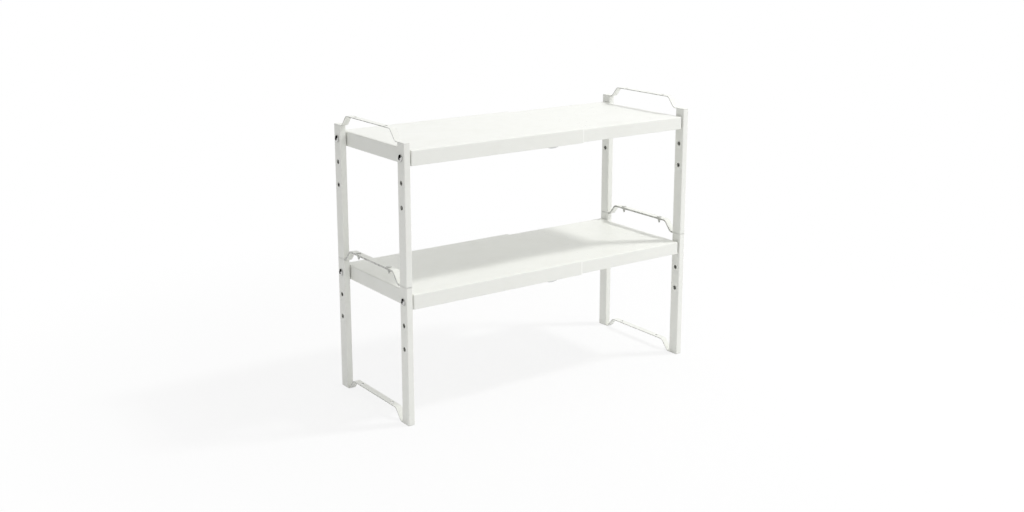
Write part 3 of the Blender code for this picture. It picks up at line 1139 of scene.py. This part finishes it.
class EndFrames(Assembly):
    """The end frames of both tiers: two legs, a handle, a brace and their welds."""

    def build(self) -> None:
        """Builds and places the frames."""
        low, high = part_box("lower_left_front_leg")
        leg = LegTube().mesh(high.z - low.z)
        builder = EndStrap()
        straps = {kind: builder.mesh(kind) for kind in Strap}
        bead = WeldBead().mesh()
        for tier, side in product(Tier, Side):
            for kind, strap in straps.items():
                node = f"{tier.value}_{side.value}_{kind.name.lower()}"
                low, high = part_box(node)
                shared = high.z - builder.rise if kind is Strap.HANDLE else low.z
                middle = centre_of(node)
                where = Matrix.Translation((middle.x, middle.y, shared))
                self.workshop.piece(strap, f"{node}_strap", where, half_of(tier, side),
                                    self.finishes.coat, node)
            for end in End:
                self._place_leg(leg, bead, f"{tier.value}_{side.value}_{end.value}",
                                half_of(tier, side))

    def _place_leg(self, leg: bpy.types.Mesh, bead: bpy.types.Mesh, stem: str, body: str) -> None:
        """Places a leg and the two welds that hold it.

        Args:
            leg: The leg's template.
            bead: The weld's template.
            stem: The start of the leg's name.
            body: The body it rides on.
        """
        node = f"{stem}_leg"
        low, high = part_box(node)
        middle = centre_of(node)
        where = Matrix.Translation((middle.x, middle.y, low.z))
        self.workshop.piece(leg, f"{node}_tube", where, body, self.finishes.coat, node)
        inner = low.y if middle.y > 0 else high.y
        for name, height in (("handle", high.z), ("brace", low.z)):
            spot = Matrix.Translation((middle.x, inner, height))
            self.workshop.piece(bead, f"{stem}_{name}_weld", spot, body, self.finishes.coat)


@dataclass
class ShelfTray:
    """A folded tray, upside down: flat top, three lips, open where it meets the other tray."""

    sheet: float = 0.0010
    bend_radius: float = 0.0020
    bend_segments: int = 8
    hole_radius: float = 0.0045
    hole_reach: float = 0.0080
    hole_facets: int = 40
    edge_radius: float = 0.0002
    # Width of the open-end strip that gets a painted highlight.
    highlight_width: float = 0.0024
    open_end_radius: float = 0.00042
    open_end_segments: int = 3

    def _rounded_with_highlight_strip(self, pan: bpy.types.Mesh, open_end: float, inward: int) -> bmesh.types.BMesh:
        """Rounds the sheet's open end and sets apart the strip that gets a painted highlight.

        Args:
            pan: The folded sheet.
            open_end: Where its open end is along X.
            inward: The sign of the X direction from its closed end to its open one.

        Returns:
            The sheet with its rounded end.
        """
        bm = bmesh.new()
        bm.from_mesh(pan)
        sliced(bm, (open_end - inward * self.highlight_width, 0.0, 0.0), ALONG_X)
        rim = [edge for edge in bm.edges
               if all(abs(v.co.x - open_end) < WELD_LIMIT for v in edge.verts)
               and any(abs(face.normal.x) < FACING_SHARE for face in edge.link_faces)]
        bevelled(bm, rim, self.open_end_radius, self.open_end_segments)
        return bm

    def mesh(self, node: str, side: Side) -> bpy.types.Mesh:
        """Builds a tray in its place.

        Args:
            node: The CAD tray it stands for.
            side: The side of its closed end.

        Returns:
            The finished mesh.
        """
        low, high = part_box(node)
        bm = box_of(high - low, (low + high) / 2)
        gone = [face for face in bm.faces
                if face.normal.z < -FACING_SHARE or face.normal.x * side.inward > FACING_SHARE]
        bmesh.ops.delete(bm, geom=gone, context="FACES_ONLY")
        loose = [edge for edge in bm.edges if not edge.link_faces]
        bmesh.ops.delete(bm, geom=loose, context="EDGES")
        bends = [edge for edge in bm.edges if not edge.is_boundary]
        bevelled(bm, bends, self.bend_radius, self.bend_segments)
        closed_end, open_end = (low.x, high.x) if side is Side.LEFT else (high.x, low.x)
        pan = self._rounded_with_highlight_strip(walled(bm, self.sheet), open_end, side.inward)
        tier = node.split("_")[0]
        tools = []
        for end in End:
            nut = centre_of(f"{tier}_{side.value}_{end.value}_rivet_nut")
            tools.append(round_bar(self.hole_radius, self.hole_reach, (closed_end, nut.y, nut.z),
                                   self.hole_facets, X_ACROSS))
        tray = softened(combined(pan, tools), self.edge_radius)
        for mark, face in zip(tray.attributes[EDGE_ATTRIBUTE].data, tray.polygons):
            if abs(face.center.x - open_end) < self.highlight_width:
                mark.value = 0.0
        edge_of_top = high.z - self.bend_radius
        # The lips along the open end get a painted highlight.
        return marked(
            tray, HIGHLIGHT_ATTRIBUTE,
            lambda spot: abs(spot.x - open_end) < self.highlight_width and spot.z < edge_of_top,
        )


@dataclass
class Glide:
    """A plastic clip pushed on the inner tray's lip, its lower edge a shallow arc."""

    length: float = 0.0210
    lip: float = 0.0010
    gap: float = 0.0003
    outer_wall: float = 0.0006
    inner_wall: float = 0.0016
    arc_rise: float = 0.0018
    slices: int = 20
    edge_radius: float = 0.00025

    def mesh(self, low: float, high: float, floor: float) -> bpy.types.Mesh:
        """Builds a clip along X, its thin wall to -Y and its slot centred on the lip.

        Args:
            low: The height of its lowest point.
            high: The height of its upper edge.
            floor: The height of the slot's floor.

        Returns:
            The finished mesh.
        """
        slot = self.lip / 2 + self.gap
        thin, thick = -slot - self.outer_wall, slot + self.inner_wall
        bm = box_of((self.length, thick - thin, high - low), (0.0, (thin + thick) / 2, (low + high) / 2))
        for cut in range(1, self.slices):
            sliced(bm, ((cut / self.slices - 0.5) * self.length, 0.0, 0.0), ALONG_X)
        for cut in range(self.slices + 1):
            share = 2 * cut / self.slices - 1
            along = share * self.length / 2
            under = [v for v in bm.verts if abs(v.co.x - along) < WELD_LIMIT and v.co.z < floor]
            bmesh.ops.translate(bm, verts=under, vec=(0.0, 0.0, self.arc_rise * share * share))
        height = high - floor + self.length
        groove = box_of((2 * self.length, 2 * slot, height), (0.0, 0.0, floor + height / 2))
        return softened(combined(bm, [groove]), self.edge_radius)


class SlidingShelves(Assembly):
    """The shelf of each tier: an outer and an inner tray, and the glides between them."""

    def build(self) -> None:
        """Builds and places the trays and the glides."""
        tray = ShelfTray()
        for tier in Tier:
            for side, kind, coat in ((Side.LEFT, "outer_tray", self.finishes.coat),
                                     (Side.RIGHT, "inner_tray", self.finishes.rubbed_coat)):
                node = f"{tier.value}_{kind}"
                self.workshop.piece(tray.mesh(node, side), f"{node}_pan", Matrix.Identity(4),
                                    half_of(tier, side), coat, node)
            self._place_glides(tier)

    def _place_glides(self, tier: Tier) -> None:
        """Builds and places a tier's two glides.

        Args:
            tier: The tier.
        """
        glide = Glide()
        lip_low, lip_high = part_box(f"{tier.value}_inner_tray")
        for end in End:
            node = f"{tier.value}_{end.value}_glide"
            low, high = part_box(node)
            lip = lip_low.y + glide.lip / 2 if end is End.FRONT else lip_high.y - glide.lip / 2
            mesh = glide.mesh(low.z, high.z, lip_low.z - glide.gap)
            where = Matrix.Translation(((low.x + high.x) / 2, lip, 0.0))
            if end is End.BACK:
                where = where @ HALF_TURN
            self.workshop.piece(mesh, f"{node}_clip", where, half_of(tier, Side.RIGHT),
                                self.finishes.glide, node)


@dataclass
class ShelfScrew:
    """A truss-head machine screw with a cross recess and a rolled thread, its head up."""

    seat: float = 0.0003
    head_radius: float = 0.0058
    head_height: float = 0.0029
    dome_steps: int = 10
    rim_height: float = 0.0007
    rim_radius: float = 0.0003
    rim_steps: int = 3
    radius: float = 0.0030
    root_radius: float = 0.0026
    length: float = 0.0235
    point: float = 0.0015
    pitch: float = 0.0010
    plain: float = 0.0030
    recess_span: float = 0.0090
    recess_width: float = 0.0024
    recess_depth: float = 0.0021
    recess_taper: Triple = (0.5, 0.8, 1.0)
    core_spread: float = 1.2
    core_facets: int = 8
    facets: int = 48
    thread_facets: int = 24
    spare_turns: int = 3
    crest_share: float = 0.125
    merge_share: float = 0.01

    def _head(self) -> bpy.types.Mesh:
        """Builds the head and its plain neck.

        Returns:
            The closed mesh.
        """
        crown = dome(self.head_radius, self.seat + self.rim_height,
                     self.head_height - self.rim_height, self.dome_steps)
        rim = arc((self.head_radius - self.rim_radius, self.seat + self.rim_radius),
                  self.rim_radius, 0.0, -QUARTER, self.rim_steps)
        neck = [(self.root_radius, self.seat), (self.root_radius, -self.plain), (0.0, -self.plain)]
        return combined(turned(crown + rim + neck, self.facets), self._recess())

    def _dome_height(self, reach: float) -> float:
        """Works out the height of the head's dome.

        Args:
            reach: The distance from the screw's axis.

        Returns:
            The height there, and the rim's past the dome's edge.
        """
        rise = self.head_height - self.rim_height
        fall = 1 - min(1.0, reach / self.head_radius) ** 2
        return self.seat + self.rim_height + rise * math.sqrt(fall)

    def _gets_painted_shade(self, spot: Vector) -> bool:
        """Tells whether a spot is in the cross recess or under the rim, where shade is painted.

        Args:
            spot: A face's middle.

        Returns:
            Whether shade is painted there.
        """
        reach = math.hypot(spot.x, spot.y)
        if reach > self.root_radius and spot.z < self.seat + self.rim_radius / 2:
            return spot.z > 0.0
        roof = self._dome_height(reach) - self.rim_radius / 2
        return reach < self.recess_span / 2 and 0.0 < spot.z < roof

    def _recess(self) -> list[bmesh.types.BMesh]:
        """Builds the tools that cut the cross recess.

        Returns:
            Two tapered blades and a tapered core.
        """
        top = (0.0, 0.0, self.seat + self.head_height)
        tools = []
        for turn in (0.0, QUARTER):
            blade = box_of((self.recess_span, self.recess_width, 2 * self.recess_depth), top)
            tip = [v for v in blade.verts if v.co.z < top[2]]
            bmesh.ops.scale(blade, verts=tip, vec=self.recess_taper)
            blade.transform(Matrix.Rotation(turn, 4, "Z"))
            tools.append(blade)
        core = round_bar(self.recess_width / 2, 2 * self.recess_depth, top, self.core_facets,
                         end_radius=self.core_spread * self.recess_width)
        return [*tools, core]

    def _thread(self) -> bpy.types.Mesh:
        """Builds the threaded shank and its chamfered point.

        Returns:
            The closed mesh.
        """
        turns = round((self.length - self.plain) / self.pitch) + self.spare_turns
        start = -self.length - self.pitch
        flat = self.crest_share * self.pitch
        rise = [(self.root_radius, 0.0), (self.radius, self.pitch / 2 - flat),
                (self.radius, self.pitch / 2 + flat), (self.root_radius, self.pitch)]
        bm = wire_of([(radius, start + height) for radius, height in rise])
        bmesh.ops.spin(bm, geom=everything(bm), cent=ORIGIN, axis=UP,
                       dvec=(0.0, 0.0, self.pitch / self.thread_facets), angle=math.tau * turns,
                       steps=self.thread_facets * turns)
        bmesh.ops.remove_doubles(bm, verts=bm.verts, dist=self.merge_share * self.pitch)
        for height, side in ((-self.length, -1.0), (-self.plain + self.pitch, 1.0)):
            sliced(bm, (0.0, 0.0, height), (0.0, 0.0, side), clear=True)
        rims = [edge for edge in bm.edges if edge.is_boundary]
        bmesh.ops.holes_fill(bm, edges=rims, sides=0)
        bmesh.ops.recalc_face_normals(bm, faces=bm.faces)
        wide = self.radius + self.pitch
        envelope = turned([(0.0, -self.length), (self.radius - self.point / 2, -self.length),
                           (wide, self.point + self.pitch - self.length), (wide, self.length),
                           (0.0, self.length)], self.facets)
        return combined(bm, [envelope], "INTERSECT")

    def mesh(self) -> bpy.types.Mesh:
        """Builds the screw, the surface that its head sits on at zero."""
        whole = combined(self._head(), [self._thread()], "UNION")
        # The cross recess and the ring under the head get painted shade.
        return marked(shaded(whole), SHADE_ATTRIBUTE, self._gets_painted_shade)


@dataclass
class RivetNut:
    """A flanged rivet nut, crimped behind the tray's wall, its flange up against the leg."""

    bore: float = 0.0033
    flange: float = 0.0012
    flange_radius: float = 0.0055
    barrel_radius: float = 0.0042
    bulge_drop: float = 0.0028
    bulge_radius: float = 0.0054
    bulge_length: float = 0.0026
    bulge_steps: int = 8
    chamfer: float = 0.0003
    facets: int = 48

    def mesh(self, length: float) -> bpy.types.Mesh:
        """Builds the nut with its flange's outer face at zero, along -Z.

        Args:
            length: The whole length.

        Returns:
            The finished mesh.
        """
        cut, bore, barrel, brim = self.chamfer, self.bore, self.barrel_radius, self.flange_radius
        swell = self.bulge_radius - barrel
        shares = [step / self.bulge_steps for step in range(self.bulge_steps + 1)]
        bulge = [(barrel + swell * math.sin(math.pi * share),
                  -self.bulge_drop - self.bulge_length * share) for share in shares]
        profile = [
            (bore, -cut), (bore + cut, 0.0), (brim - cut, 0.0), (brim, -cut),
            (brim, -self.flange + cut / 2), (brim - cut / 2, -self.flange),
            (barrel, -self.flange), *bulge, (barrel, -length + cut), (barrel - cut, -length),
            (bore + cut / 2, -length), (bore, -length + cut / 2),
        ]
        return shaded(turned(profile, self.facets, closed=True))


class ShelfFasteners(Assembly):
    """The screws through the legs and the rivet nuts in the trays that they hold."""

    TURN_STEP = math.pi / 7

    def build(self) -> None:
        """Builds and places the screws and the nuts, no two neighbouring screws turned alike."""
        screw = ShelfScrew().mesh()
        nut_builder = RivetNut()
        for drive, (tier, side, end) in enumerate(product(Tier, Side, End), start=1):
            body = half_of(tier, side)
            stem = f"{tier.value}_{side.value}_{end.value}"
            leg_low, leg_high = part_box(f"{stem}_leg")
            low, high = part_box(f"{stem}_rivet_nut")
            outside, face = (leg_low.x, low.x) if side is Side.LEFT else (leg_high.x, high.x)
            hole = centre_of(f"{stem}_rivet_nut")
            head_out = Matrix.Rotation(-side.inward * QUARTER, 4, "Y")
            seat = Matrix.Translation((outside, hole.y, hole.z)) @ head_out
            spin = Matrix.Rotation(drive * self.TURN_STEP, 4, "Z")
            self.workshop.piece(screw, f"{stem}_screw_threaded", seat @ spin, body,
                                self.finishes.chrome, f"{stem}_screw")
            spot = Matrix.Translation((face, hole.y, hole.z)) @ head_out
            self.workshop.piece(nut_builder.mesh(high.x - low.x), f"{stem}_rivet_nut_crimped", spot,
                                body, self.finishes.zinc, f"{stem}_rivet_nut")


@dataclass
class TierPlug:
    """A push-in plug with a domed head, a barb and a split pointed tip."""

    seat: float = 0.0003
    head_radius: float = 0.0042
    head_height: float = 0.0016
    dome_steps: int = 10
    rim_height: float = 0.0006
    # Painted shade on the barb and tip, which hang in shade under the straps.
    tip_shade: float = 0.35
    shank_radius: float = 0.0024
    barb_radius: float = 0.0027
    barb_top: float = -0.0034
    barb_length: float = 0.0012
    tip_radius: float = 0.0013
    tip_length: float = 0.0062
    nose_radius: float = 0.0005
    nose_steps: int = 4
    slot_width: float = 0.0010
    facets: int = 40
    edge_radius: float = 0.00012

    def mesh(self) -> bpy.types.Mesh:
        """Builds the plug, the surface that its head sits on at zero.

        Returns:
            The finished mesh.
        """
        rim = self.seat + self.rim_height
        crown = dome(self.head_radius, rim, self.head_height - self.rim_height, self.dome_steps)
        low = self.barb_top - self.barb_length
        tip = low - self.tip_length
        nose = arc((self.tip_radius - self.nose_radius, tip + self.nose_radius), self.nose_radius,
                   0.0, -QUARTER, self.nose_steps)
        profile = [
            *crown, (self.head_radius, self.seat), (self.shank_radius, self.seat),
            (self.shank_radius, self.barb_top), (self.barb_radius, self.barb_top),
            (self.barb_radius, low), *nose, (0.0, tip),
        ]
        top = self.barb_top + self.barb_length
        height = top - tip + self.tip_length
        slot = box_of((self.slot_width, 4 * self.barb_radius, height), (0.0, 0.0, top - height / 2))
        mesh = softened(combined(turned(profile, self.facets), [slot]), self.edge_radius)
        # The ring round the head's rim and the barb and tip get painted shade.
        return marked(mesh, SHADE_ATTRIBUTE, self._painted_shade_at)

    def _painted_shade_at(self, spot: Vector) -> float:
        """Tells how much shade is painted on a spot: most round the head's rim, some on the barb and
        tip.

        Args:
            spot: A face's middle.

        Returns:
            The painted shade there, from 0 to 1.
        """
        if spot.z < self.barb_top:
            return self.tip_shade
        return 1.0 if 0.0 < spot.z < self.seat + self.rim_height else 0.0


class TierPlugs(Assembly):
    """The four plugs that lock the upper tier on the lower one."""

    def build(self) -> None:
        """Builds and places the plugs."""
        builder = TierPlug()
        plug = builder.mesh()
        for side, end in product(Side, End):
            node = f"{side.value}_{end.value}_plug"
            middle = centre_of(node)
            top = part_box(node)[1].z - builder.seat - builder.head_height
            where = Matrix.Translation((middle.x, middle.y, top))
            self.workshop.piece(plug, f"{node}_moulded", where, half_of(Tier.UPPER, side),
                                self.finishes.plug, node)


@dataclass(frozen=True)
class SoftBox:
    """A square area light that faces the organizer and leaves no glare on its coat."""

    name: str
    place: Triple
    size: float
    power: float

    def build(self, target: Vector) -> None:
        """Hangs the light.

        Args:
            target: The point it faces.
        """
        data = bpy.data.lights.new(self.name, "AREA")
        data.shape = "SQUARE"
        data.size = self.size
        data.energy = self.power
        lamp = bpy.data.objects.new(self.name, data)
        bpy.context.scene.collection.objects.link(lamp)
        lamp.location = self.place
        lamp.rotation_euler = (Vector(self.place) - target).to_track_quat("Z", "Y").to_euler()
        lamp.visible_glossy = False


@dataclass
class Studio:
    """The camera, the floor and the soft studio light."""

    camera_place: Triple = (-1.25689, -1.74884, 0.81072)
    camera_yaw: float = math.radians(35.4577)
    camera_pitch: float = math.radians(12.8792)
    lens: float = 44.482
    sensor_width: float = 36.0
    shift_y: float = -0.0586
    clip_start: float = 0.01
    target: Triple = (0.0, 0.0, 0.24)
    floor_radius: float = 3.0
    floor_facets: int = 96
    floor_colour: Triple = (0.86, 0.86, 0.86)
    shadow_share: float = 0.20
    shadow_span: Span = (0.45, 1.1)
    key: SoftBox = SoftBox("Key", (2.26, -1.13, 3.60), size=0.47, power=73.0)
    fill: SoftBox = SoftBox("Fill", (1.70, -1.80, 1.00), size=1.60, power=9.75)
    room_glow: float = 0.40
    ceiling_glow: float = 0.52
    flag_place: Triple = (-0.56, 0.56, 0.61)
    flag_core: float = math.cos(math.radians(42.0))
    flag_edge: float = math.cos(math.radians(52.0))

    def build(self) -> None:
        """Sets up the view, the floor and the lights."""
        bpy.context.scene.view_settings.view_transform = "Standard"
        self._camera()
        self._floor()
        for box in (self.key, self.fill):
            box.build(Vector(self.target))
        self._world()

    def _camera(self) -> None:
        """Places the camera at the photograph's viewing angle."""
        data = bpy.data.cameras.new("Camera")
        data.sensor_width = self.sensor_width
        data.lens = self.lens
        data.shift_y = self.shift_y
        data.clip_start = self.clip_start
        camera = bpy.data.objects.new("Camera", data)
        bpy.context.scene.collection.objects.link(camera)
        camera.location = self.camera_place
        camera.rotation_euler = (QUARTER - self.camera_pitch, 0.0, -self.camera_yaw)
        bpy.context.scene.camera = camera

    def _floor(self) -> None:
        """Lays a round floor with a faint shadow, white away from the object, clear from below."""
        bm = bmesh.new()
        bmesh.ops.create_circle(bm, cap_ends=True, segments=self.floor_facets,
                                radius=self.floor_radius)
        mesh = bpy.data.meshes.new("Floor")
        bm.to_mesh(mesh)
        bm.free()
        floor = bpy.data.objects.new("Floor", mesh)
        bpy.context.scene.collection.objects.link(floor)
        made = bpy.data.materials.new("Studio floor")
        made.use_nodes = True
        board = NodeBoard(made.node_tree)
        board.tree.nodes.remove(board.tree.nodes["Principled BSDF"])
        away = board.feed(board.add("VectorMath", operation="LENGTH"),
                          board.add("TexCoord").outputs["Object"])
        white_share = board.ramp(away.outputs["Value"], self.shadow_span, 1.0 - self.shadow_share)
        path = board.add("LightPath")
        matt = board.feed(board.add("BsdfDiffuse"), Color=self.floor_colour)
        white = board.feed(board.add("Emission"), Color=WHITE, Strength=1.0)
        top = board.either(board.math("MULTIPLY", white_share, board.seen(path)), matt, white)
        below = board.math("MULTIPLY", board.add("NewGeometry").outputs["Backfacing"],
                           path.outputs["Is Camera Ray"])
        mixed = board.either(below, top, board.add("BsdfTransparent"))
        board.feed(board.tree.nodes["Material Output"], Surface=mixed.outputs[0])
        mesh.materials.append(made)

    def _world(self) -> None:
        """Lights the room, more from its ceiling, with a white background.

        The coat and the metal reflect that background too, with a black flag up on the left
        behind the object, which draws the dark shapes in the screws' chrome.
        """
        world = bpy.data.worlds.new("Studio")
        bpy.context.scene.world = world
        world.use_nodes = True
        board = NodeBoard(world.node_tree)
        path = board.add("LightPath")
        heading = board.add("TexCoord").outputs["Generated"]
        upward = board.math("MAXIMUM", board.towards(heading, UP), 0.0)
        glow = board.math("MULTIPLY_ADD", upward, self.ceiling_glow, self.room_glow)
        room = board.feed(board.tree.nodes["Background"], Color=WHITE, Strength=glow)
        flag = board.ramp(board.towards(heading, self.flag_place), (self.flag_edge, self.flag_core))
        flag = board.math("MULTIPLY", flag, path.outputs["Is Glossy Ray"])
        white = board.feed(board.add("Background"), Color=WHITE,
                           Strength=board.math("SUBTRACT", 1.0, flag))
        mixed = board.either(board.seen(path), room, white)
        board.feed(board.tree.nodes["World Output"], Surface=mixed.outputs[0])


def main() -> None:
    """Builds the dressed organizer and its studio."""
    logging.basicConfig(level=logging.INFO, format="%(message)s")
    Studio().build()
    workshop, finishes = Workshop(), Finishes()
    for kind in (EndFrames, SlidingShelves, ShelfFasteners, TierPlugs):
        kind(workshop, finishes).build()
        LOG.info("%s is placed", kind.__name__)
    LOG.info("%d pieces in all", workshop.made)


if __name__ == "__main__":
    main()
